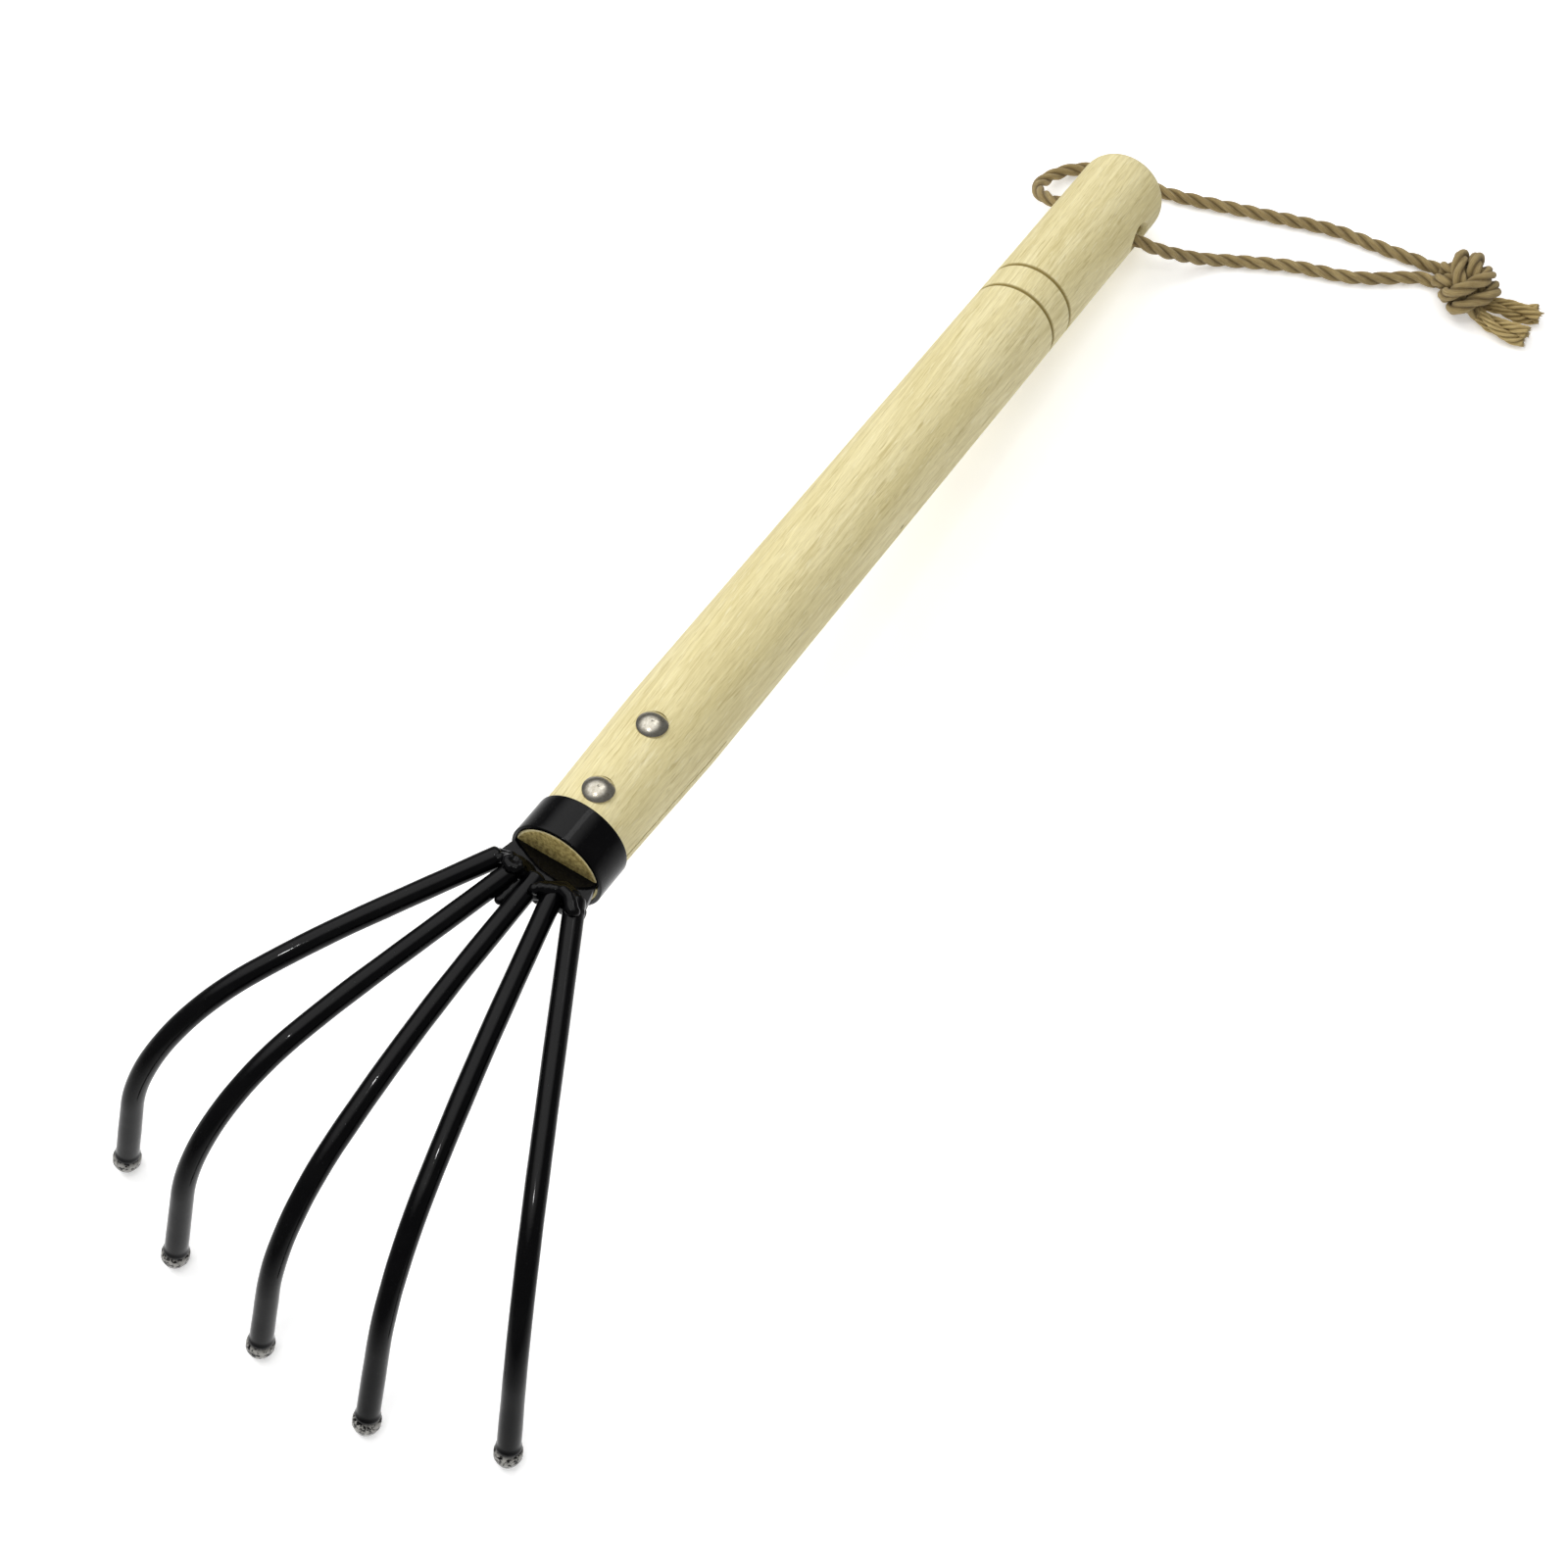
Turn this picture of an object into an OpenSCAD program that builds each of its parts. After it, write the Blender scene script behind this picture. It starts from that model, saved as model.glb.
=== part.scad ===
// Hand rake with a turned wooden handle, a riveted flat tang and five welded wire tines.
// The tool lies as it rests on the ground: on its tine tips and on the lower edge of its butt.
// X runs from the butt towards the tines, Z is up, and Z = 0 is the ground.

/* [Handle] */
// Length from the butt to the front of the ferrule
handle_len = 321; // [280:1:360]
// Diameter of the grip
handle_d = 28; // [26:0.5:32]
// Diameter just behind the ferrule
neck_d = 25.6; // [25.2:0.1:26.6]
// Length of the taper in front of the grip
taper_len = 42; // [30:1:60]
// Radius of the rounded butt edge
butt_round = 5.6; // [3:0.2:8]
// Distance from the butt to the nearer groove
groove_pos = 67.5; // [50:0.5:90]
// Distance between the two grooves
groove_gap = 11; // [8:0.5:20]
// Width of each groove
groove_w = 1.8; // [1:0.1:3]
// Depth of each groove
groove_depth = 0.8; // [0.4:0.1:1.5]
// Distance from the butt to the cord hole
hole_pos = 19.5; // [16:0.5:22]
// Diameter of the cord hole
hole_d = 8; // [7:0.5:9]
// Diameter of the cord hole's flared mouths
mouth_d = 11; // [9.5:0.5:12]

/* [Ferrule] */
// Length of the ferrule
ferrule_len = 12; // [8:0.5:12.5]
// Outer diameter of the ferrule
ferrule_d = 27.1; // [26.8:0.1:29]
// Diameter of the wood inside the ferrule
tenon_d = 24.8; // [24.6:0.1:25.2]

/* [Tang] */
// Thickness of the tang plate
tang_t = 2.6; // [2:0.1:3.2]
// Height of the plate's top above the handle's axis
tang_top = 2.7; // [1.8:0.1:2.7]
// Width of the plate inside the handle
tang_w = 24; // [21:0.5:24]
// Length of the plate inside the handle
tang_in = 58; // [52:1:70]
// Length of the plate in front of the ferrule
tang_out = 11; // [10:0.5:16]

/* [Rivets] */
// Distances of the two rivets behind the ferrule's front
rivet_pos = [18, 42.5]; // [17.5:0.5:46]
// Diameter of each rivet's head
rivet_head_d = 8.4; // [7:0.2:10]
// Height of each rivet's dome
rivet_head_h = 2.2; // [1.6:0.1:3]
// Diameter of each rivet's shank
rivet_d = 4; // [3:0.5:5]

/* [Tines] */
// Diameter of the round wire
wire_d = 5.6; // [5:0.1:5.6]
// Distance between two roots, side by side on the plate
root_gap = 5.8; // [5.8:0.05:6.2]
// Distance of the roots in front of the ferrule
root_out = 9; // [8:0.5:10]
// Angle at which the roots leave the plate, below the handle's axis
root_slope = 6; // [4:0.5:8]
// Radius of the long, slight bend
slight_r = 190; // [150:5:230]
// Radius of the sharp bend
sharp_r = 48; // [40:1:55]
// Sideways angle of each tine
fan = [-29.5, -16, -1.5, 12.5, 27.5]; // [-30:0.5:30]
// Length of each tine's straight root
root_len = [33.5, 43.5, 23.5, 30.5, 38.5]; // [20:0.5:45]
// Angle of each tine's slight bend
slight_bend = [9.5, 7, 17, 15, 11.5]; // [6:0.5:18]
// Angle of each tine's sharp bend
sharp_bend = [65.5, 67, 55, 52, 56.5]; // [50:0.5:68]
// Diameter of each tine's rounded tip
tip_d = 6.6; // [5.8:0.1:6.8]

/* [Welds] */
// Radius of the weld beads
bead_r = 2.6; // [2:0.1:3]
// Ends of the left bead, in root distances from the middle of the row
left_bead = [-2, -0.8]; // [-2.2:0.1:-0.7]
// Ends of the right bead, in root distances from the middle of the row
right_bead = [0.4, 2.1]; // [0.4:0.1:2.2]

/* [Rest] */
// Upward slope of the handle's axis, from the butt to the ferrule
tilt = 7.5; // [6.5:0.1:8.5]
// Roll of the tool about the handle's axis
roll = -3; // [-4:0.5:0]

/* [Cord] */
// Diameter of the twisted cord
cord_d = 4.5; // [4:0.1:4.6]
// Diameter of its loosened tails behind the knot
tail_d = 5; // [4.5:0.1:5.5]

/* [Hidden] */
smooth = 96;
wire_smooth = 40;
// A ball this much thicker than the wire blends two stretches of one tine into one solid.
swell = 0.03;
// Shapes that cut others run this much past them.
over = 1;
// The roots are sunk this far into the plate, and the rivets' heads this far into the wood.
root_sink = 0.1;
seat_depth = 0.5;
// The plate is this much wider than the row of roots.
plate_margin = 0.2;
// The beads lie this far in front of the ends of the roots, and above their axes.
bead_out = 0.4;
bead_lift = 1.2;
// Depth of the cord hole's flared mouths, and of the tenon's chamfer.
flare = 2.1;
chamfer = 0.8;
wood = "#dfd3a0";
black_paint = "#1c1c1e";
steel = "#d0cfca";
jute = "#a58f68";
wire_r = wire_d / 2;
tip_r = tip_d / 2;
grip_r = handle_d / 2;
root_z = tang_top + wire_r - root_sink;
tine_count = len(fan);

// Where a point of the tool, given along its axis, comes to lie: rows of its turn onto the ground.
row_x = [cos(tilt), -sin(tilt) * sin(roll), -sin(tilt) * cos(roll)];
row_y = [0, cos(roll), -sin(roll)];
row_z = [sin(tilt), cos(tilt) * sin(roll), cos(tilt) * cos(roll)];
butt_z = butt_round * (1 - sin(tilt)) + (grip_r - butt_round) * cos(tilt);

// Direction of a tine at an angle below the axis, in its own upright plane.
function heading(i, down) = [cos(down) * cos(fan[i]), cos(down) * sin(fan[i]), -sin(down)];
// Step along a bend of radius r, from one angle below the axis to the next.
function bend_step(i, r, from, to) =
    r * [(sin(to) - sin(from)) * cos(fan[i]), (sin(to) - sin(from)) * sin(fan[i]), cos(to) - cos(from)];
function root_point(i) = [handle_len + root_out, (i - (tine_count - 1) / 2) * root_gap, root_z];
function angle_1(i) = root_slope + slight_bend[i];
function angle_2(i) = angle_1(i) + sharp_bend[i];
function bend_start(i) = root_point(i) + root_len[i] * heading(i, root_slope);
function bend_middle(i) = bend_start(i) + bend_step(i, slight_r, root_slope, angle_1(i));
function bend_end(i) = bend_middle(i) + bend_step(i, sharp_r, angle_1(i), angle_2(i));
// Each straight end is as long as it needs to be for its rounded tip to touch the ground.
function end_len(i) = (tip_r - butt_z - row_z * bend_end(i)) / (row_z * heading(i, angle_2(i)));
function tip(i) = bend_end(i) + end_len(i) * heading(i, angle_2(i));

// The origin is under the middle of the tool, without its cord.
tip_xs = [for (i = [0 : tine_count - 1]) row_x * tip(i)];
tip_ys = [for (i = [0 : tine_count - 1]) row_y * tip(i)];
front_x = max(tip_xs) + tip_r;
back_x = butt_round * cos(tilt) - (grip_r - butt_round) * sin(tilt) - butt_round;
butt_x = -(front_x + back_x) / 2;
butt_y = -(max(tip_ys) + min(tip_ys)) / 2;

// The cord runs through the hole, and both halves lie on the ground as far as the knot.
cord_sides = 10;
route_right = [
    [-205.5, 2.5, 15.5], [-205, 9, 15.2], [-204.5, 15, 14.6], [-205.5, 19, 13.2],
    [-208, 23.5, 10.8], [-211.5, 27.5, 8], [-215, 31, 5.5], [-218.5, 35, 3.6],
    [-221.5, 39, 2.6], [-224, 43.5, 2.3], [-227.5, 51, 2.3], [-231, 59, 2.3],
    [-233.5, 67.5, 2.3], [-236, 76, 2.3], [-240, 84, 2.3], [-244, 90, 2.3],
    [-247, 95, 2.3], [-248.5, 101, 2.3]
];
route_left = [
    [-205.5, 2.5, 15.5], [-205.5, -4, 15.6], [-205.5, -10, 15.4], [-206, -15, 14.4],
    [-208.5, -19.5, 12], [-212.5, -23, 9], [-217, -24.5, 6.8], [-221.5, -24.5, 5],
    [-226, -23.5, 3.8], [-230.5, -21, 3], [-234, -17.5, 2.5], [-236.5, -13, 2.3],
    [-238, -7, 2.3], [-238.5, 1, 2.3], [-238.5, 9, 2.3], [-240, 18, 2.3],
    [-242.5, 27.5, 2.3], [-245, 37, 2.3], [-247.5, 46.5, 2.3], [-250, 56, 2.3],
    [-252, 65.5, 2.3], [-252.5, 75, 2.3], [-253, 85, 2.3], [-253.5, 93, 2.3],
    [-253.5, 101, 2.3]
];
route_tail_upper = [[-247.9, 118.5, 3], [-248.8, 124, 3], [-249.9, 129, 3], [-251.3, 134.5, 3]];
route_tail_lower = [[-242.3, 118.5, 3], [-240.5, 123.5, 3], [-240.3, 128.5, 3], [-241.9, 134.5, 3]];
// Centres of the knot's lumps, each with its radius.
knot_lumps = [
    [[-252.2, 106.5, 6], 5.6],
    [[-247, 108, 10.2], 6],
    [[-249, 112.5, 8], 6],
    [[-243, 112, 6.2], 6]
];

function unit(v) = v / norm(v);
// Direction of a route at a point: as given at its ends, and between its neighbours elsewhere.
function along(route, k, first, last) =
    k == 0 ? first
    : k == len(route) - 1 ? last
    : unit(unit(route[k + 1] - route[k]) + unit(route[k] - route[k - 1]));
function ring(at, dir, r) =
    let (side = unit(cross(dir, [0, 0, 1])), up = cross(side, dir))
    [for (s = [0 : cord_sides - 1])
        at + r * (cos(360 * s / cord_sides) * up + sin(360 * s / cord_sides) * side)];

// Children given along the handle's axis, from the butt, are laid on the ground.
module at_rest() {
    translate([butt_x, butt_y, butt_z])
        rotate([0, -tilt, 0])
            rotate([roll, 0, 0])
                children();
}

// Children drawn around Z are turned to lie along the handle's axis.
module along_axis() {
    rotate([0, 90, 0]) children();
}

module wood_profile() {
    neck = handle_len - ferrule_len;
    translate([grip_r - butt_round, butt_round]) circle(r = butt_round, $fn = smooth);
    square([grip_r - butt_round, butt_round]);
    polygon([
        [0, butt_round],
        [grip_r, butt_round],
        [grip_r, neck - taper_len],
        [neck_d / 2, neck],
        [tenon_d / 2, neck],
        [tenon_d / 2, handle_len - chamfer],
        [tenon_d / 2 - chamfer, handle_len],
        [0, handle_len]
    ]);
}

module groove(pos) {
    translate([0, 0, pos])
        rotate_extrude($fn = smooth)
            polygon([
                [grip_r - groove_depth, 0],
                [grip_r + over, -groove_w],
                [grip_r + over, groove_w]
            ]);
}

// The hole across the butt that the cord runs through, flared at both mouths.
module cord_hole() {
    outer_d = hole_d + (mouth_d - hole_d) * (flare + over) / flare;
    translate([hole_pos, 0, 0])
        rotate([90, 0, 0]) {
            cylinder(h = handle_d + 2 * over, d = hole_d, center = true, $fn = smooth);
            for (side = [0, 180])
                rotate([side, 0, 0])
                    translate([0, 0, grip_r - flare])
                        cylinder(h = flare + over, d1 = hole_d, d2 = outer_d, $fn = smooth);
        }
}

// Radius of the handle at a distance behind the ferrule's front.
function radius_behind(back) =
    grip_r - (grip_r - neck_d / 2) * max(0, 1 - (back - ferrule_len) / taper_len);
function seat_z(back) = radius_behind(back) - seat_depth;

module rivet_bore(back) {
    translate([handle_len - back, 0, 0]) {
        cylinder(h = handle_d + 2 * over, d = rivet_d, center = true, $fn = smooth);
        for (side = [0, 180])
            rotate([side, 0, 0])
                translate([0, 0, seat_z(back)])
                    cylinder(h = seat_depth + over, d = rivet_head_d, $fn = smooth);
    }
}

module tang_slot() {
    translate([handle_len - tang_in, -grip_r - over, tang_top - tang_t])
        cube([tang_in + over, handle_d + 2 * over, tang_t]);
}

module handle() {
    color(wood)
        at_rest()
            difference() {
                along_axis() rotate_extrude($fn = smooth) wood_profile();
                along_axis() for (k = [0, 1]) groove(groove_pos + k * groove_gap);
                cord_hole();
                tang_slot();
                for (back = rivet_pos) rivet_bore(back);
            }
}

module ferrule() {
    color(black_paint)
        at_rest()
            translate([handle_len - ferrule_len, 0, 0])
                along_axis()
                    difference() {
                        cylinder(h = ferrule_len, d = ferrule_d, $fn = smooth);
                        translate([0, 0, -over])
                            cylinder(h = ferrule_len + 2 * over, d = tenon_d, $fn = smooth);
                    }
}

module tang_outline() {
    front_w = (tine_count - 1) * root_gap + wire_d + plate_margin;
    translate([-tang_in, -tang_w / 2]) square([tang_in, tang_w]);
    polygon([
        [0, -tang_w / 2],
        [tang_out, -front_w / 2],
        [tang_out, front_w / 2],
        [0, tang_w / 2]
    ]);
}

module tang_plate() {
    color(black_paint)
        at_rest()
            difference() {
                translate([handle_len, 0, tang_top - tang_t])
                    linear_extrude(tang_t) tang_outline();
                for (back = rivet_pos)
                    translate([handle_len - back, 0, 0])
                        cylinder(h = handle_d, d = rivet_d, center = true, $fn = smooth);
                for (i = [0 : tine_count - 1]) tine_root(i);
            }
}

module rivet(back) {
    dome_r = (pow(rivet_head_d / 2, 2) + pow(rivet_head_h, 2)) / (2 * rivet_head_h);
    color(steel)
        at_rest()
            translate([handle_len - back, 0, 0]) {
                cylinder(h = 2 * seat_z(back) + over, d = rivet_d, center = true, $fn = smooth);
                for (side = [0, 180])
                    rotate([side, 0, 0])
                        translate([0, 0, seat_z(back)])
                            intersection() {
                                cylinder(h = rivet_head_h, d = rivet_head_d, $fn = smooth);
                                translate([0, 0, rivet_head_h - dome_r])
                                    sphere(r = dome_r, $fn = smooth);
                            }
            }
}

// Children drawn along +X start at a tine's root, along its first straight.
module from_root(i) {
    translate(root_point(i))
        rotate([0, 0, fan[i]])
            rotate([0, root_slope, 0])
                children();
}

// Children drawn along +X are carried to the end of a downward bend of radius r.
module after_bend(r, angle) {
    translate([0, 0, -r])
        rotate([0, angle, 0])
            translate([0, 0, r])
                children();
}

module straight(len) {
    rotate([0, 90, 0]) cylinder(h = len, r = wire_r, $fn = wire_smooth);
}

// A downward bend that starts at the origin along +X.
module bend(r, angle) {
    translate([0, 0, -r])
        rotate([-90, -90, 0])
            rotate_extrude(angle = angle, $fn = smooth)
                translate([r, 0]) circle(r = wire_r, $fn = wire_smooth);
}

module tine_root(i) {
    from_root(i) straight(root_len[i]);
}

module joint_ball() {
    sphere(r = wire_r + swell, $fn = wire_smooth);
}

module tine(i) {
    color(black_paint)
        at_rest()
            from_root(i) {
                straight(root_len[i]);
                translate([root_len[i], 0, 0]) {
                    joint_ball();
                    bend(slight_r, slight_bend[i]);
                    after_bend(slight_r, slight_bend[i]) {
                        joint_ball();
                        bend(sharp_r, sharp_bend[i]);
                        after_bend(sharp_r, sharp_bend[i]) {
                            joint_ball();
                            straight(end_len(i));
                            translate([end_len(i), 0, 0]) sphere(r = tip_r, $fn = wire_smooth);
                        }
                    }
                }
            }
}

// A bead laid across the roots of some tines; its ends are in root distances from the middle.
module weld(ends) {
    from_y = ends[0] * root_gap;
    to_y = ends[1] * root_gap;
    color(black_paint)
        at_rest()
            difference() {
                translate([handle_len + root_out + bead_out, 0, root_z + bead_lift]) {
                    translate([0, from_y, 0])
                        rotate([-90, 0, 0])
                            cylinder(h = to_y - from_y, r = bead_r, $fn = smooth);
                    for (y = [from_y, to_y])
                        translate([0, y, 0]) sphere(r = bead_r, $fn = smooth);
                }
                for (i = [0 : tine_count - 1]) tine_root(i);
                translate([handle_len, 0, tang_top - tang_t])
                    linear_extrude(tang_t) tang_outline();
            }
}

// A tube of diameter d swept along a route.
module tube(route, d, first, last) {
    n = cord_sides;
    rings = len(route);
    points = [for (k = [0 : rings - 1]) each ring(route[k], along(route, k, first, last), d / 2)];
    walls = [for (k = [0 : rings - 2]) for (s = [0 : n - 1])
        [k * n + s, k * n + (s + 1) % n, (k + 1) * n + (s + 1) % n, (k + 1) * n + s]];
    start = [for (s = [0 : n - 1]) n - 1 - s];
    end = [for (s = [0 : n - 1]) (rings - 1) * n + s];
    polyhedron(points = concat(points), faces = concat(walls, [start], [end]), convexity = 6);
}

module cord(route, first) {
    color(jute) tube(route, cord_d, first, [0, 1, 0]);
}

module cord_tail(route) {
    color(jute) tube(route, tail_d, [0, 1, 0], unit(route[3] - route[2]));
}

// The knot is one rounded lump, flat where the cord's halves enter it and where its tails leave it.
module cord_knot() {
    inlets = [route_right[len(route_right) - 1], route_left[len(route_left) - 1]];
    outlets = [route_tail_upper[0], route_tail_lower[0]];
    near = inlets[0].y;
    far = outlets[0].y;
    room = [100, far - near, 30];
    color(jute)
        intersection() {
            hull() {
                for (lump = knot_lumps)
                    translate(lump[0]) sphere(r = lump[1], $fn = 24);
                for (at = inlets)
                    translate(at) sphere(r = cord_d / 2, $fn = 24);
                for (at = outlets)
                    translate(at) sphere(r = tail_d / 2, $fn = 24);
            }
            translate([inlets[1].x - room.x / 2, near, 0]) cube(room);
        }
}

handle();
ferrule();
tang_plate();
tine(0);  // tine_1
tine(1);  // tine_2
tine(2);  // tine_3
tine(3);  // tine_4
tine(4);  // tine_5
weld(left_bead);  // weld_left
weld(right_bead);  // weld_right
rivet(rivet_pos[0]);  // rivet_front
rivet(rivet_pos[1]);  // rivet_rear
cord(route_right, [0, 1, 0]);  // cord_right
cord(route_left, [0, -1, 0]);  // cord_left
cord_knot();
cord_tail(route_tail_upper);  // cord_tail_upper
cord_tail(route_tail_lower);  // cord_tail_lower
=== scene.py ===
"""The looks of the hand rake: beech handle, black painted ferrule, tang and tines, rivets, jute cord."""

import math

import bmesh
import bpy
import numpy as np
from mathutils import Matrix, Quaternion, Vector, noise


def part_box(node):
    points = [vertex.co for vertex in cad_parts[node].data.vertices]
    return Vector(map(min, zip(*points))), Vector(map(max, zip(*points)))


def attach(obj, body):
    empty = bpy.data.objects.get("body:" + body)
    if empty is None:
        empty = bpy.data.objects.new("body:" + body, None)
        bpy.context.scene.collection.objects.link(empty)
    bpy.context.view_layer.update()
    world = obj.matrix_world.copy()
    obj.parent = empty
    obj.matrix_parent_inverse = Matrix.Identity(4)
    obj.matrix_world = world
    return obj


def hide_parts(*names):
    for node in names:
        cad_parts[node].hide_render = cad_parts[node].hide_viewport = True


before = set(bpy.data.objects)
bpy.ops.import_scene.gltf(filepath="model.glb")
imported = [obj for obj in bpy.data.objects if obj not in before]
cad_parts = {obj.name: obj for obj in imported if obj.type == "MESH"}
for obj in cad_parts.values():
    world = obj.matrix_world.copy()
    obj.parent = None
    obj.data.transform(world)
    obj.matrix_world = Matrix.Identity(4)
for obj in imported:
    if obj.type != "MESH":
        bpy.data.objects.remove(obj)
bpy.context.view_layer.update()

scene = bpy.context.scene
MM = 0.001
PAINT_SLOT = "black_paint"
random = np.random.default_rng(7)

# Sizes of the design, in metres and radians, as its source gives them.
HANDLE_LEN = 321 * MM
GRIP_R = 14 * MM
NECK_R = 12.8 * MM
TAPER_LEN = 42 * MM
BUTT_ROUND = 5.6 * MM
GROOVES = (67.5 * MM, 78.5 * MM)
GROOVE_HALF = 0.8 * MM
GROOVE_DEPTH = 0.8 * MM
HOLE_POS = 19.5 * MM
HOLE_R = 4 * MM
MOUTH_R = 5.5 * MM
MOUTH_FLARE = 2.1 * MM
FERRULE_LEN = 12 * MM
FERRULE_R = 13.55 * MM
TENON_R = 12.4 * MM
TANG_T = 2.6 * MM
TANG_TOP = 2.7 * MM
TANG_W = 24 * MM
TANG_IN = 58 * MM
TANG_OUT = 11 * MM
PLATE_FRONT = 29 * MM
RIVETS = {"rivet_front": 18 * MM, "rivet_rear": 42.5 * MM}
RIVET_HEAD_R = 4.2 * MM
RIVET_HEAD_H = 2.2 * MM
RIVET_R = 2 * MM
SEAT_DEPTH = 0.5 * MM
CLEARANCE = 0.08 * MM
CUT_REACH = GRIP_R * 1.2
SLOT_MOUTH = 0.6 * MM
WIRE_R = 2.8 * MM
TIP_R = 3.3 * MM
TIP_FLARE_R = 3.6 * MM
ROOT_GAP = 5.8 * MM
ROOT_OUT = 9 * MM
ROOT_Z = 5.4 * MM
ROOT_SLOPE = math.radians(6)
SLIGHT_R = 190 * MM
SHARP_R = 48 * MM
# One row for each tine: sideways angle, straight root, slight bend and sharp bend.
TINES = (
    (-29.5, 33.5, 9.5, 65.5),
    (-16, 43.5, 7, 67),
    (-1.5, 23.5, 17, 55),
    (12.5, 30.5, 15, 52),
    (27.5, 38.5, 11.5, 56.5),
)
LEFT_BEAD = (-2, -0.6)
RIGHT_BEAD = (0.4, 2.3)
TILT = math.radians(7.5)
ROLL = math.radians(-3)
CORD_D = 4.5 * MM
CORD_LAY = 18.5 * MM
ROPE_R = 2.12 * MM
TAIL_D = 5 * MM
KNOT_ROLL = math.radians(195)
KNOT_SPIN = math.radians(-20)
KNOT_SHIFT = (2.0, -1.0, 0)
KNOT_ROPE_R = 2.3 * MM
FLOOR_GAP = 0.05 * MM

# Routes in millimetres: the cord's two halves, from the middle of its hole to the knot, and its two tails.
ROUTE_RIGHT = (
    (-205.5, 2.5, 15.5), (-205, 9, 15.2), (-204.5, 15, 14.6), (-205.5, 19, 13.2),
    (-208, 23.5, 10.8), (-211.5, 27.5, 8), (-215, 31, 5.5), (-218.5, 35, 3.6),
    (-221.5, 39, 2.6), (-224, 43.5, 2.3), (-227.5, 51, 2.3), (-231, 59, 2.3),
    (-233.5, 67.5, 2.3), (-236, 76, 2.3), (-240, 84, 2.3), (-244, 90, 2.3),
    (-247, 95, 2.3), (-248.5, 101, 2.3),
)
ROUTE_LEFT = (
    (-205.5, 2.5, 15.5), (-205.5, -4, 15.6), (-205.5, -10, 15.4), (-206, -15, 14.4),
    (-208.5, -19.5, 12), (-212.5, -23, 9), (-217, -24.5, 6.8), (-221.5, -24.5, 5),
    (-226, -23.5, 3.8), (-230.5, -21, 3), (-234, -17.5, 2.5), (-236.5, -13, 2.3),
    (-238, -7, 2.3), (-238.5, 1, 2.3), (-238.5, 9, 2.3), (-240, 18, 2.3),
    (-242.5, 27.5, 2.3), (-245, 37, 2.3), (-247.5, 46.5, 2.3), (-250, 56, 2.3),
    (-252, 65.5, 2.3), (-252.5, 75, 2.3), (-253, 85, 2.3), (-253.5, 93, 2.3),
    (-253.5, 101, 2.3),
)
ROUTE_TAIL_UPPER = ((-247.9, 118.5, 3), (-248.8, 124, 3), (-249.9, 129, 3), (-251.3, 134.5, 3))
ROUTE_TAIL_LOWER = ((-242.3, 118.5, 3), (-240.5, 123.5, 3), (-240.3, 128.5, 3), (-241.9, 134.5, 3))


def make_camera():
    """The camera looks down on the tool from beside its tines."""
    yaw = math.radians(32.2)
    pitch = math.radians(58.8)
    turn = math.radians(-0.86)
    data = bpy.data.cameras.new("camera")
    data.sensor_width = 36
    data.lens = 58.6
    data.clip_start = 0.01
    data.clip_end = 30
    camera = bpy.data.objects.new("camera", data)
    scene.collection.objects.link(camera)
    camera.location = (0.3278, 0.2178, 0.6106)
    look = Vector((-math.cos(yaw) * math.cos(pitch), -math.sin(yaw) * math.cos(pitch), -math.sin(pitch)))
    camera.rotation_mode = "QUATERNION"
    camera.rotation_quaternion = look.to_track_quat("-Z", "Y") @ Quaternion((0, 0, 1), turn)
    scene.camera = camera


# ---- Mesh helpers ----


def ease(x):
    """0 below 0, 1 above 1 and a smooth step between them."""
    x = np.clip(x, 0, 1)
    return x * x * (3 - 2 * x)


def resample(points, count):
    """The polyline through points, cut into count points an equal distance apart."""
    at = np.r_[0, np.cumsum(np.linalg.norm(np.diff(points, axis=0), axis=1))]
    spots = np.linspace(0, at[-1], count)
    return np.stack([np.interp(spots, at, points[:, k]) for k in range(3)], axis=1)


def smooth_curve(route, step):
    """A smooth curve through a route's points, given in millimetres, in metres and in even steps."""
    points = np.array(route, float) * MM
    ends = np.concatenate([[2 * points[0] - points[1]], points, [2 * points[-1] - points[-2]]])
    parts = []
    for a, b, c, d in zip(ends[:-3], ends[1:-2], ends[2:-1], ends[3:]):
        t = np.linspace(0, 1, 24, endpoint=False)[:, None]
        parts.append(0.5 * (2 * b + (c - a) * t + (2 * a - 5 * b + 4 * c - d) * t**2
                            + (3 * b - a - 3 * c + d) * t**3))
    curve = np.concatenate(parts + [points[-1:]])
    length = path_length(curve)
    return resample(curve, int(round(length / step)) + 1)


def path_length(points):
    """Length of the polyline through points."""
    return float(np.linalg.norm(np.diff(points, axis=0), axis=1).sum())


def sweep_frames(path, first=None):
    """Directions along a path, and two directions across it that don't twist about it."""
    along = np.gradient(path, axis=0)
    along /= np.linalg.norm(along, axis=1)[:, None]
    side = np.zeros_like(along)
    start = np.array([0.0, 0.0, 1.0]) if first is None else np.array(first)
    for k, direction in enumerate(along):
        start = start - (start @ direction) * direction
        start /= np.linalg.norm(start)
        side[k] = start
    return along, side, np.cross(along, side)


def tube(rings):
    """Points and faces of a closed tube through rings of points, with a point in the middle of each end."""
    count, around = rings.shape[:2]
    points = np.concatenate([rings.reshape(-1, 3), rings[0].mean(0)[None], rings[-1].mean(0)[None]])
    start, end = count * around, count * around + 1
    faces = []
    for k in range(count - 1):
        for j in range(around):
            n = (j + 1) % around
            faces.append((k * around + j, k * around + n, (k + 1) * around + n, (k + 1) * around + j))
    last = (count - 1) * around
    for j in range(around):
        n = (j + 1) % around
        faces.append((start, n, j))
        faces.append((end, last + j, last + n))
    return points, faces


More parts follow.
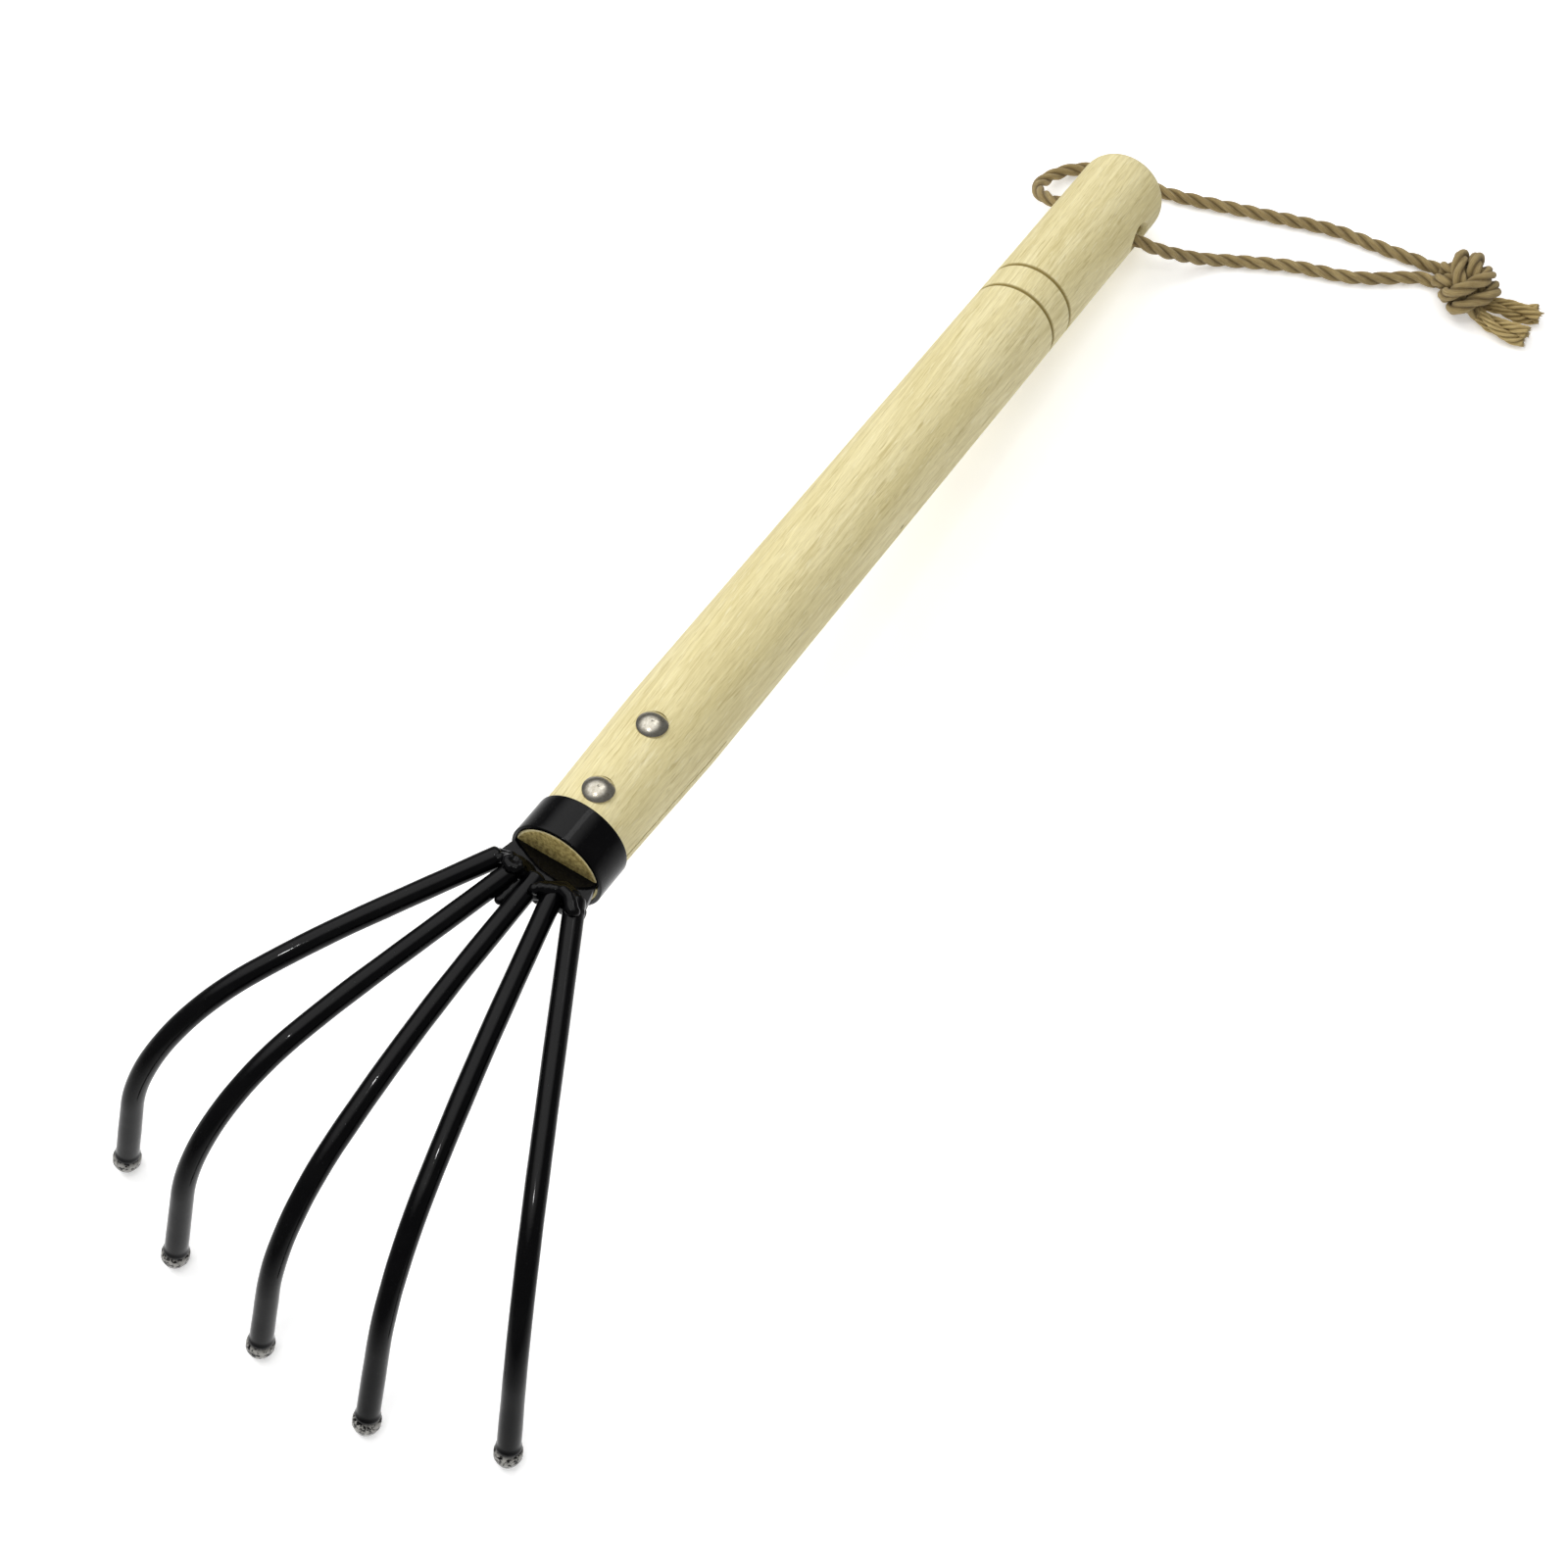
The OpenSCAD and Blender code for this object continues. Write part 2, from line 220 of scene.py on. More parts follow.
def make_piece(name, points, faces, place=None):
    """A smooth-shaded mesh piece; place carries its own frame to the shared one."""
    mesh = bpy.data.meshes.new(name)
    mesh.from_pydata([tuple(p) for p in points], [], [tuple(f) for f in faces])
    piece = bpy.data.objects.new(name, mesh)
    scene.collection.objects.link(piece)
    if place is not None:
        piece.matrix_world = place
    face_outwards(piece)
    mesh.polygons.foreach_set("use_smooth", [True] * len(mesh.polygons))
    return piece


def settle(piece):
    """Moves a piece's own frame into its mesh, so that its bounds are true ones."""
    piece.data.transform(piece.matrix_world)
    piece.matrix_world = Matrix.Identity(4)


def face_outwards(piece):
    """Turns a closed mesh's faces outwards."""
    form = bmesh.new()
    form.from_mesh(piece.data)
    bmesh.ops.recalc_face_normals(form, faces=form.faces)
    form.to_mesh(piece.data)
    form.free()


def mark_sharp(piece, degrees=32):
    """Edges that turn by more than this stay crisp."""
    limit = math.radians(degrees)
    form = bmesh.new()
    form.from_mesh(piece.data)
    for face in form.faces:
        face.smooth = True
    for edge in form.edges:
        edge.smooth = len(edge.link_faces) == 2 and edge.calc_face_angle(0) < limit
    form.to_mesh(piece.data)
    form.free()


def give(piece, name, values, domain="POINT"):
    """Gives a piece's points or faces an attribute that its material reads."""
    kind, field = ("FLOAT_VECTOR", "vector") if np.ndim(values) == 2 else ("FLOAT", "value")
    flat = np.array(values, np.float32).ravel()
    piece.data.attributes.new(name, kind, domain).data.foreach_set(field, flat)


def apply_modifiers(piece):
    """Replaces a piece's mesh with what its modifiers make of it."""
    graph = bpy.context.evaluated_depsgraph_get()
    made = bpy.data.meshes.new_from_object(piece.evaluated_get(graph))
    piece.modifiers.clear()
    old = piece.data
    piece.data = made
    bpy.data.meshes.remove(old)


def cut(piece, cutters):
    """Cuts closed shapes out of a piece and removes them."""
    for cutter in cutters:
        modifier = piece.modifiers.new("cut", "BOOLEAN")
        modifier.operation = "DIFFERENCE"
        modifier.solver = "MANIFOLD"
        modifier.object = cutter
    bpy.context.view_layer.update()
    apply_modifiers(piece)
    for cutter in cutters:
        bpy.data.objects.remove(cutter)


def lathe(name, profile, around, place=None):
    """A closed shape turned about X, through (x, radius) pairs; its ends close with flat discs."""
    angles = np.linspace(0, 2 * np.pi, around, endpoint=False)
    rings = np.array([[(x, r * math.cos(a), r * math.sin(a)) for a in angles] for x, r in profile])
    points, faces = tube(rings)
    return make_piece(name, points, faces, place)


def arc(cx, cr, radius, start, stop, count):
    """Points (x, radius) round a centre, between two angles in degrees."""
    angles = np.radians(np.linspace(start, stop, count))
    return [(cx + radius * math.cos(a), cr + radius * math.sin(a)) for a in angles]


def finish_piece(piece, material, slot, *nodes):
    """Gives a piece its material and the CAD nodes that it stands for; slot is not used."""
    settle(piece)
    piece.data.materials.clear()
    piece.data.materials.append(material)
    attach(piece, "root")
    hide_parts(*nodes)
    return piece


def tool_place():
    """The tool's own frame in the shared one: X runs along the handle from the middle of its butt."""
    low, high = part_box("handle")
    inner = GRIP_R - BUTT_ROUND
    back = BUTT_ROUND * math.cos(TILT) - inner * math.sin(TILT) - BUTT_ROUND
    height = BUTT_ROUND * (1 - math.sin(TILT)) + inner * math.cos(TILT)
    butt = Vector((low.x - back, (low.y + high.y) / 2, height))
    return Matrix.Translation(butt) @ Matrix.Rotation(-TILT, 4, "Y") @ Matrix.Rotation(ROLL, 4, "X")


# ---- Materials ----


class Shader:
    """A short way to write a material's nodes."""

    def __init__(self, name):
        self.material = bpy.data.materials.new(name)
        self.material.use_nodes = True
        self.tree = self.material.node_tree
        self.surface = self.tree.nodes["Principled BSDF"]

    def add(self, kind, inputs=(), **settings):
        node = self.tree.nodes.new(kind)
        for key, value in settings.items():
            setattr(node, key, value)
        for key, value in dict(inputs).items():
            self.set(node.inputs[key], value)
        return node

    def set(self, socket, value):
        if isinstance(value, bpy.types.NodeSocket):
            self.tree.links.new(value, socket)
        elif isinstance(value, bpy.types.Node):
            self.tree.links.new(value.outputs[0], socket)
        else:
            socket.default_value = value

    def stretch(self, source, scale, rotation=(0, 0, 0), location=(0, 0, 0)):
        inputs = {"Vector": source, "Scale": scale, "Rotation": rotation, "Location": location}
        return self.add("ShaderNodeMapping", inputs)

    def noise(self, vector, scale, detail=2.0, roughness=0.5, distortion=0.0):
        inputs = {"Vector": vector, "Scale": scale, "Detail": detail, "Roughness": roughness,
                  "Distortion": distortion}
        return self.add("ShaderNodeTexNoise", inputs).outputs["Fac"]

    def spread(self, value, low, high, to_low=0.0, to_high=1.0):
        inputs = {"Value": value, "From Min": low, "From Max": high, "To Min": to_low, "To Max": to_high}
        return self.add("ShaderNodeMapRange", inputs, clamp=True).outputs["Result"]

    def math(self, operation, a, b=0.0):
        return self.add("ShaderNodeMath", {0: a, 1: b}, operation=operation).outputs[0]

    def mix(self, factor, a, b, blend="MIX"):
        node = self.add("ShaderNodeMix", data_type="RGBA", blend_type=blend, clamp_result=True)
        self.set(node.inputs["Factor"], factor)
        self.set(node.inputs[6], a)
        self.set(node.inputs[7], b)
        return node.outputs[2]

    def bump(self, height, distance, strength=1.0, normal=None):
        inputs = {"Height": height, "Distance": distance, "Strength": strength}
        if normal is not None:
            inputs["Normal"] = normal
        return self.add("ShaderNodeBump", inputs).outputs["Normal"]

    def finish(self, **sockets):
        for key, value in sockets.items():
            self.set(self.surface.inputs[key.replace("_", " ")], value)
        return self.material


def colour(red, green, blue):
    """A screen colour from 0 to 255 as a linear one."""
    shares = [c / 255 for c in (red, green, blue)]
    return (*[c / 12.92 if c <= 10 / 255 else ((c + 0.055) / 1.055) ** 2.4 for c in shares], 1.0)


def beech():
    """Pale turned beech: soft streaks, fine fibres, ray flecks, a few dark specks, darker end grain and
    painted shade at the bottom of each groove.
    """
    s = Shader("beech")
    own = s.add("ShaderNodeAttribute", attribute_name="tree").outputs["Vector"]
    lean = s.stretch(own, (1, 1, 1), rotation=(0, math.radians(1.5), math.radians(-2)))
    clouds = s.noise(s.stretch(lean, (0.12, 1, 1)), 110, 3, 0.55, 0.6)
    streaks = s.noise(s.stretch(lean, (0.03, 1, 1)), 900, 4, 0.6, 0.4)
    fibres = s.noise(s.stretch(lean, (0.035, 1, 1)), 4200, 3, 0.6)
    flecks = s.noise(s.stretch(lean, (0.07, 1, 1)), 2900, 1, 0.4)
    rays = s.noise(s.stretch(lean, (0.09, 1, 0.6), location=(3, 1, 2)), 2200, 1, 0.4)
    base = s.mix(s.spread(clouds, 0.36, 0.66), colour(242, 231, 183), colour(229, 216, 161))
    base = s.mix(s.spread(streaks, 0.42, 0.66, 0, 0.75), base, colour(212, 198, 143))
    base = s.mix(s.spread(fibres, 0.38, 0.7, 0, 0.45), base, colour(200, 185, 130))
    lines = s.noise(s.stretch(lean, (0.055, 1, 1), location=(1, 5, 2)), 1300, 2, 0.5)
    base = s.mix(s.spread(lines, 0.6, 0.7, 0, 0.55), base, colour(188, 170, 112))
    base = s.mix(s.spread(rays, 0.62, 0.74, 0, 0.4), base, colour(246, 239, 206))
    base = s.mix(s.spread(flecks, 0.62, 0.74, 0, 0.42), base, colour(186, 168, 112))
    cells = s.add("ShaderNodeTexVoronoi", {"Vector": s.stretch(own, (0.45, 1, 1)), "Scale": 75})
    chance = s.add("ShaderNodeSeparateColor", {0: cells.outputs["Color"]}).outputs[0]
    rare = s.math("GREATER_THAN", chance, 0.72)
    speck = s.math("MULTIPLY", s.spread(cells.outputs["Distance"], 0.018, 0.045, 0.8, 0), rare)
    base = s.mix(speck, base, colour(112, 88, 46))
    facing = s.add("ShaderNodeAttribute", attribute_name="end_grain").outputs["Fac"]
    end = s.spread(facing, 0.82, 0.98)
    pores = s.noise(own, 900, 3, 0.65)
    end_tone = s.mix(s.spread(pores, 0.38, 0.64), colour(204, 186, 120), colour(142, 122, 67))
    base = s.mix(end, base, end_tone)
    cut_x = s.add("ShaderNodeSeparateXYZ", {0: own}).outputs[0]
    # Painted shade: the colour darkens towards the bottom of each groove.
    for groove in GROOVES:
        away = s.math("ABSOLUTE", s.math("SUBTRACT", cut_x, groove))
        base = s.mix(s.spread(away, 0.4 * MM, GROOVE_HALF * 1.15, 0.9, 0), base, colour(134, 115, 50))
    rough = s.spread(s.math("ADD", streaks, fibres), 0.7, 1.3, 0.5, 0.66)
    grain = s.math("SUBTRACT", s.math("MULTIPLY", fibres, 0.7), s.spread(flecks, 0.6, 0.75, 0, 0.5))
    relief = s.bump(grain, 0.05 * MM, 0.55)
    return s.finish(Base_Color=base, Roughness=rough, Normal=relief)


def black_gloss():
    """Thick black gloss paint: orange peel, a little dust under it and faint rubbing; at the tine tips, pale
    chips that are partly worn paint and partly a painted reflection of the tip.
    """
    s = Shader("black_gloss")
    own = s.add("ShaderNodeTexCoord").outputs["Object"]
    peel = s.noise(own, 520, 2, 0.5)
    waves = s.noise(own, 140, 1, 0.5)
    dust = s.spread(s.noise(own, 2600, 0, 0.5), 0.74, 0.8)
    rubbed = s.noise(own, 70, 4, 0.6, 0.8)
    tone = s.mix(s.spread(rubbed, 0.4, 0.8), colour(2, 2, 3), colour(8, 8, 9))
    rough = s.math("ADD", s.spread(rubbed, 0.35, 0.75, 0.04, 0.1), s.math("MULTIPLY", dust, 0.12))
    # At the tine tips, pale grey chips: partly worn paint, partly a painted reflection of the tip in the
    # floor.
    worn = s.add("ShaderNodeAttribute", attribute_name="tip_wear_and_reflection").outputs["Fac"]
    chips_and_reflection = s.math("MULTIPLY", worn, s.spread(s.noise(own, 1100, 3, 0.6), 0.42, 0.54))
    tone = s.mix(chips_and_reflection, tone, colour(158, 156, 151))
    rough = s.math("ADD", rough, s.math("MULTIPLY", worn, 0.12))
    relief = s.bump(waves, 0.12 * MM, 0.4)
    relief = s.bump(peel, 0.03 * MM, 0.5, relief)
    relief = s.bump(dust, 0.03 * MM, 0.6, relief)
    return s.finish(Base_Color=tone, Roughness=rough, Normal=relief, Specular_IOR_Level=0.26)


def rivet_steel():
    """Bright pressed steel with fine scratches and dulled patches."""
    s = Shader("rivet_steel")
    own = s.add("ShaderNodeTexCoord").outputs["Object"]
    scratch = s.noise(s.stretch(own, (0.15, 1, 1), rotation=(0.4, 0.8, 0.5)), 5200, 2, 0.6)
    dull = s.noise(own, 900, 3, 0.6)
    tone = s.mix(s.spread(dull, 0.35, 0.75), colour(228, 223, 209), colour(192, 184, 166))
    rough = s.spread(dull, 0.3, 0.8, 0.16, 0.3)
    relief = s.bump(scratch, 0.01 * MM, 0.4)
    return s.finish(Base_Color=tone, Metallic=1.0, Roughness=rough, Normal=relief)


def jute(name, light, dark, pale):
    """Jute fibre: fine threads that run along the strands, pale and dark ones among them, and painted shade
    in the gaps between the strands.
    """
    s = Shader(name)
    own = s.add("ShaderNodeTexCoord").outputs["Object"]
    fibre = s.add("ShaderNodeAttribute", attribute_name="fibre").outputs["Vector"]
    gap = s.add("ShaderNodeAttribute", attribute_name="gap").outputs["Fac"]
    threads = s.noise(s.stretch(fibre, (1, 1, 0.10)), 2.4, 4, 0.65)
    fine = s.noise(s.stretch(fibre, (1, 1, 0.06)), 7.5, 3, 0.65)
    patches = s.noise(own, 190, 3, 0.6)
    tone = s.mix(s.spread(threads, 0.33, 0.67), dark, light)
    tone = s.mix(s.spread(fine, 0.52, 0.74, 0, 0.7), tone, pale)
    tone = s.mix(s.spread(fine, 0.26, 0.42, 0.55, 0), tone, dark)
    tone = s.mix(s.spread(patches, 0.35, 0.7, 0, 0.4), tone, dark)
    # Painted shade: the colour darkens in the gaps between the strands.
    painted_gap_shade = s.mix(0.35, dark, (0.02, 0.012, 0.004, 1))
    tone = s.mix(s.spread(gap, 0.45, 1, 0, 0.85), tone, painted_gap_shade)
    relief = s.bump(threads, 0.22 * MM, 0.7)
    relief = s.bump(fine, 0.10 * MM, 0.7, relief)
    rough = s.spread(fine, 0.3, 0.7, 0.75, 0.95)
    return s.finish(Base_Color=tone, Roughness=rough, Normal=relief, Sheen_Weight=0.1)


# ---- Cord ----


def rope_rings(path, radius, strands=3, spread=0.48, lay=CORD_LAY, hand=1, turn=0.0, around=48, first=None,
               swelling=None, lumps=0.035, seed=0.0):
    """Rings of a rope of round strands laid round a path, with each ring's fibre coordinates."""
    along, side, across = sweep_frames(path, first)
    at = np.r_[0, np.cumsum(np.linalg.norm(np.diff(path, axis=0), axis=1))]
    twist = turn + hand * 2 * np.pi * at / lay
    spot = np.linspace(0, 2 * np.pi, around, endpoint=False)
    share = 2 * np.pi / strands
    phase = (spot + share / 2) % share - share / 2
    strand_of = np.floor(((spot + share / 2) % (2 * np.pi)) / share).astype(int) % strands
    centre = spread * radius
    strand_r = radius - centre
    reach = centre * np.cos(phase) + np.sqrt(np.maximum(strand_r**2 - (centre * np.sin(phase))**2, 0))
    rings = np.zeros((len(path), around, 3))
    fibre = np.zeros((len(path), around, 4))
    gap = np.abs(phase) / (share / 2)
    for k, point in enumerate(path):
        uneven = [noise.noise(Vector((at[k] / (5 * MM), 7.3 * n + seed, seed))) for n in range(strands)]
        size = 1 + lumps * np.array([uneven[n] for n in strand_of])
        if swelling is not None:
            size = size * swelling[k]
        angle = spot + twist[k]
        out = np.cos(angle)[:, None] * side[k] + np.sin(angle)[:, None] * across[k]
        rings[k] = point + (reach * size)[:, None] * out
        thread = spot + 0.35 * twist[k] + 2.2 * phase
        run = np.full(around, at[k] / MM)
        fibre[k] = np.stack([3 * np.cos(thread), 3 * np.sin(thread), run, gap], axis=1)
    return rings, fibre, side[-1], twist[-1]


def hairs(path, radius, count, longest, forward=0.5):
    """Thin loose fibres that stand off a rope's surface, each a closed three-sided sliver."""
    along, side, across = sweep_frames(path)
    made = []
    for _ in range(count):
        k = int(random.integers(2, len(path) - 2))
        angle = random.uniform(0, 2 * np.pi)
        out = math.cos(angle) * side[k] + math.sin(angle) * across[k]
        lean = random.uniform(-1, 1)
        drift = forward * np.sign(lean) * along[k] + 0.6 * random.normal() * np.cross(along[k], out)
        length = longest * random.uniform(0.35, 1)
        start = path[k] + out * radius * 0.75
        share = np.linspace(0, 1, 5)[:, None]
        curl = random.uniform(-0.5, 0.5)
        line = start + length * (share * (0.55 * out + drift) + share**2 * (curl * drift - 0.35 * out))
        away = line - path[k]
        far = np.linalg.norm(away, axis=1)[:, None]
        line = path[k] + away * np.minimum(1, (radius + 1.4 * MM) / far)
        line[:, 2] = np.maximum(line[:, 2], 0.2 * MM)
        thick = random.uniform(0.035, 0.06) * MM
        made.append(sliver(line, thick))
    return made


def sliver(line, thick):
    """Rings and fibre coordinates of one thin fibre that tapers along a line."""
    along, side, across = sweep_frames(line, (0.31, 0.17, 0.93))
    spot = np.linspace(0, 2 * np.pi, 3, endpoint=False)
    taper = np.linspace(1, 0.35, len(line))
    rings = np.array([
        line[k] + thick * taper[k] * (np.cos(spot)[:, None] * side[k] + np.sin(spot)[:, None] * across[k])
        for k in range(len(line))
    ])
    fibre = np.zeros((*rings.shape[:2], 4))
    fibre[:, :, :3] = 5 * random.uniform(0.5, 2)
    return rings, fibre


def fibre_piece(name, parts):
    """One piece of several closed tubes, each given as its rings and its fibre coordinates."""
    points, faces, fibres, base = [], [], [], 0
    for rings, fibre in parts:
        made, sides = tube(rings)
        points.append(made)
        faces.extend(tuple(base + v for v in side) for side in sides)
        fibres.append(np.concatenate([fibre.reshape(-1, 4), fibre[0].mean(0)[None], fibre[-1].mean(0)[None]]))
        base += len(made)
    piece = make_piece(name, np.concatenate(points), faces)
    fibres = np.concatenate(fibres)
    give(piece, "fibre", fibres[:, :3])
    give(piece, "gap", fibres[:, 3])
    return piece


def make_cord(name, route, material):
    """One half of the cord, with the side and the twist that its end has, for the knot to take up."""
    path = smooth_curve(route, 0.5 * MM)
    rings, fibre, side, twist = rope_rings(path, ROPE_R, seed=len(route))
    loose = hairs(path, ROPE_R, len(path), 2.6 * MM)
    piece = fibre_piece("jute_" + name, [(rings, fibre)] + loose)
    finish_piece(piece, material, "jute", name)
    return piece, path, side, twist


def loose_overhand():
    """Middle line of a wide open overhand knot, in millimetres, with its ends to both sides."""
    end = 2.3
    wide, high = 7.0, 6.0
    outer, middle, inner = 1.932, 1.732, 0.518
    t = np.linspace(-end, end, 900)
    bends = np.array([-end, -outer, -middle, -inner, inner, middle, outer, end])
    heights = high * np.array([-1, -1, 1, -1, 1, -1, 1, 1])
    k = np.searchsorted(bends, t).clip(1, len(bends) - 1)
    share = ease((t - bends[k - 1]) / (bends[k] - bends[k - 1]))
    z = heights[k - 1] * (1 - share) + heights[k] * share
    return np.stack([(t**3 - 3 * t) * wide, (t**4 - 4 * t**2) * wide - 5, z], axis=1)


def relax(ropes, rounds, contact, steps, targets, move_share, pinned, floor=None):
    """Draws two ropes tight side by side: their points keep an even distance along each rope, which goes from
    the first of steps to the second, and no two come nearer than contact. The pinned ends move to targets."""
    count = ropes.shape[1]
    points = ropes.reshape(-1, 3).copy()
    shaped = points.reshape(2, count, 3)
    rope = np.repeat([0, 1], count)
    index = np.tile(np.arange(count), 2)
    same = rope[:, None] == rope[None]
    gap = np.abs(index[:, None] - index[None])
    held = np.r_[np.arange(pinned), np.arange(count - pinned, count)]
    first = shaped[:, held].copy()
    step = steps[0]
    for turn in range(rounds):
        spacing = np.linalg.norm(shaped[:, 1:] - shaped[:, :-1], axis=2).mean()
        if spacing < 1.12 * step:
            step = min(step, steps[0] + (steps[1] - steps[0]) * min(1, turn / (0.8 * rounds)))
        moved = ease(turn / (rounds * move_share))
        hold = first * (1 - moved) + targets * moved
        for _ in range(6):
            for half in (0, 1):
                a = shaped[:, :-1][:, half::2]
                b = shaped[:, 1:][:, half::2]
                link = b - a
                fix = 0.5 * (1 - step / np.linalg.norm(link, axis=2, keepdims=True)) * link
                a += fix
                b -= fix
            shaped[:, held] = hold
        bend = 0.2 * (0.5 * (shaped[:, :-2] + shaped[:, 2:]) - shaped[:, 1:-1])
        shaped[:, 1:-1] += bend
        shaped[:, :-2] -= 0.5 * bend
        shaped[:, 2:] -= 0.5 * bend
        apart = ~(same & (gap * step < 1.6 * contact))
        for _ in range(2):
            way = points[:, None] - points[None]
            distance = np.sqrt((way * way).sum(2)) + 1e-9
            push = np.where((distance < contact) & apart, 0.25 * (contact - distance) / distance, 0)
            points += (way * push[:, :, None]).sum(1)
        if floor is not None:
            points[:, 2] = np.maximum(points[:, 2], floor)
        shaped[:, held] = hold
    return shaped.copy()


def knot_paths():
    """Middle lines of the knot's two ropes, in millimetres: a doubled overhand knot, drawn tight and laid on
    the floor between the ends of the cord and the starts of its tails."""
    d = CORD_D / MM
    inlets = np.array([ROUTE_RIGHT[-1], ROUTE_LEFT[-1]], float)
    outlets = np.array([ROUTE_TAIL_LOWER[0], ROUTE_TAIL_UPPER[0]], float)
    middle = resample(loose_overhand(), 124)
    _, side, _ = sweep_frames(middle)
    ropes = np.stack([middle + side * d / 2, middle - side * d / 2])
    reach = 36
    ends = np.array([[[-reach, -5, d / 2], [reach, -5, d / 2]], [[-reach, -5, -d / 2], [reach, -5, -d / 2]]])
    ropes = relax(ropes, 600, 0.97 * d, (2.2, 1.2), ends, 0.35, 1)
    body = np.abs(ropes[:, :, 0]) < 11
    starts, stops = body.argmax(1) - 1, ropes.shape[1] - body[:, ::-1].argmax(1)
    centre = ropes[:, starts.max():stops.min()].reshape(-1, 3).mean(0)
    axis = Vector((0.17, 1, 0)).normalized()
    across = Vector((0, 0, 1)).cross(axis)
    turn = Matrix.Rotation(KNOT_SPIN, 3, "Z") @ Matrix.Rotation(KNOT_ROLL, 3, axis)
    turn = np.array(turn @ Matrix((axis, across, (0, 0, 1))).transposed())
    ropes = [(rope[a:b + 1] - centre) @ turn.T for rope, a, b in zip(ropes, starts, stops)]
    if ropes[0][0, 0] < ropes[1][0, 0]:
        ropes.reverse()
    count = max(len(rope) for rope in ropes)
    ropes = np.stack([resample(rope, count) for rope in ropes])
    ropes += (inlets.mean(0) + outlets.mean(0)) / 2 + np.array(KNOT_SHIFT)
    ropes[:, :, 2] += d / 2 - ropes[:, :, 2].min()
    step = np.linalg.norm(np.diff(ropes, axis=1), axis=2).mean()
    if ropes[0, -1, 0] < ropes[1, -1, 0]:
        outlets = outlets[::-1]
    ahead = np.array([0, step, 0])
    ends = np.stack([inlets, inlets + ahead, outlets - ahead, outlets], axis=1)
    return relax(ropes, 160, 1.03 * d, (step, 0.97 * step), ends, 0.5, 2, floor=0.5 * d)


def make_knot(material, ends):
    """The knot's two ropes, which take up the cord's sides and twist where it comes in."""
    parts = []
    for path, (side, twist) in zip(knot_paths() * MM, ends):
        dense = resample(smooth_curve(path / MM, 0.4 * MM), int(path_length(path) / (0.4 * MM)))
        share = np.linspace(0, 1, len(dense))
        swelling = 1 + (KNOT_ROPE_R / ROPE_R - 1) * ease(share * 12)
        rings, fibre, _, _ = rope_rings(dense, ROPE_R, turn=twist, first=side, seed=3.7, swelling=swelling,
                                        lumps=0.09)
        parts.append((rings, fibre))
        parts.extend(hairs(dense, KNOT_ROPE_R, 260, 2.4 * MM))
    piece = fibre_piece("jute_knot", parts)
    return finish_piece(piece, material, "jute", "cord_knot")


def make_tail(name, route, material, seed):
    """A short tail that has come loose: three strands that part towards their brushed-out, cut ends."""
    base = smooth_curve(route, 0.4 * MM)
    start = base[0] - (base[1] - base[0]) * 4
    base = np.concatenate([np.linspace(start, base[0], 4, endpoint=False), base])
    along, side, across = sweep_frames(base)
    share = np.linspace(0, 1, len(base))
    strand_r = 1.3 * MM
    parts = []
    for n in range(3):
        angle = 2 * np.pi * n / 3 + seed + 2 * np.pi * share * path_length(base) / (42 * MM)
        away = (TAIL_D / 2 - strand_r) * (1.0 + 0.75 * share)
        line = base + (away * np.cos(angle))[:, None] * side + (away * np.sin(angle))[:, None] * across
        swell = 1 + 0.5 * ease((share - 0.1) / 0.9)
        line[:, 2] = np.maximum(line[:, 2], strand_r * (swell + 0.12))
        last = len(line) - int(random.integers(0, 4))
        line, swell = line[:last], swell[:last]
        rings, fibre, _, _ = rope_rings(line, strand_r, strands=5, spread=0.7, lay=17 * MM, hand=-1,
                                        turn=seed + n, around=48, swelling=swell, lumps=0.1, seed=seed + n)
        ragged = random.uniform(-0.5, 0.5, rings.shape[1]) * MM
        rings[-1] += ragged[:, None] * along[last - 1]
        parts.append((rings, fibre))
        parts.extend(brush(line, along[last - 1], strand_r))
    parts.extend(hairs(base, TAIL_D / 2, 90, 3 * MM, forward=0.9))
    piece = fibre_piece("jute_" + name, parts)
    return finish_piece(piece, material, "jute", name)


def brush(line, ahead, radius):
    """Cut fibre ends that stick out of a strand's end."""
    made = []
    _, side, across = sweep_frames(line[-6:])
    for _ in range(34):
        angle = random.uniform(0, 2 * np.pi)
        away = radius * 1.15 * math.sqrt(random.uniform(0, 1))
        out = math.cos(angle) * side[-1] + math.sin(angle) * across[-1]
        start = line[-1] + away * out - ahead * 0.6 * MM
        length = random.uniform(0.9, 1.7) * MM
        share = np.linspace(0, 1, 4)[:, None]
        path = start + share * length * (ahead + 0.25 * out * away / radius) + share**2 * 0.2 * MM * out
        path[:, 2] = np.maximum(path[:, 2], 0.2 * MM)
        made.append(sliver(path, random.uniform(0.07, 0.13) * MM))
    return made


# ---- Wood ----


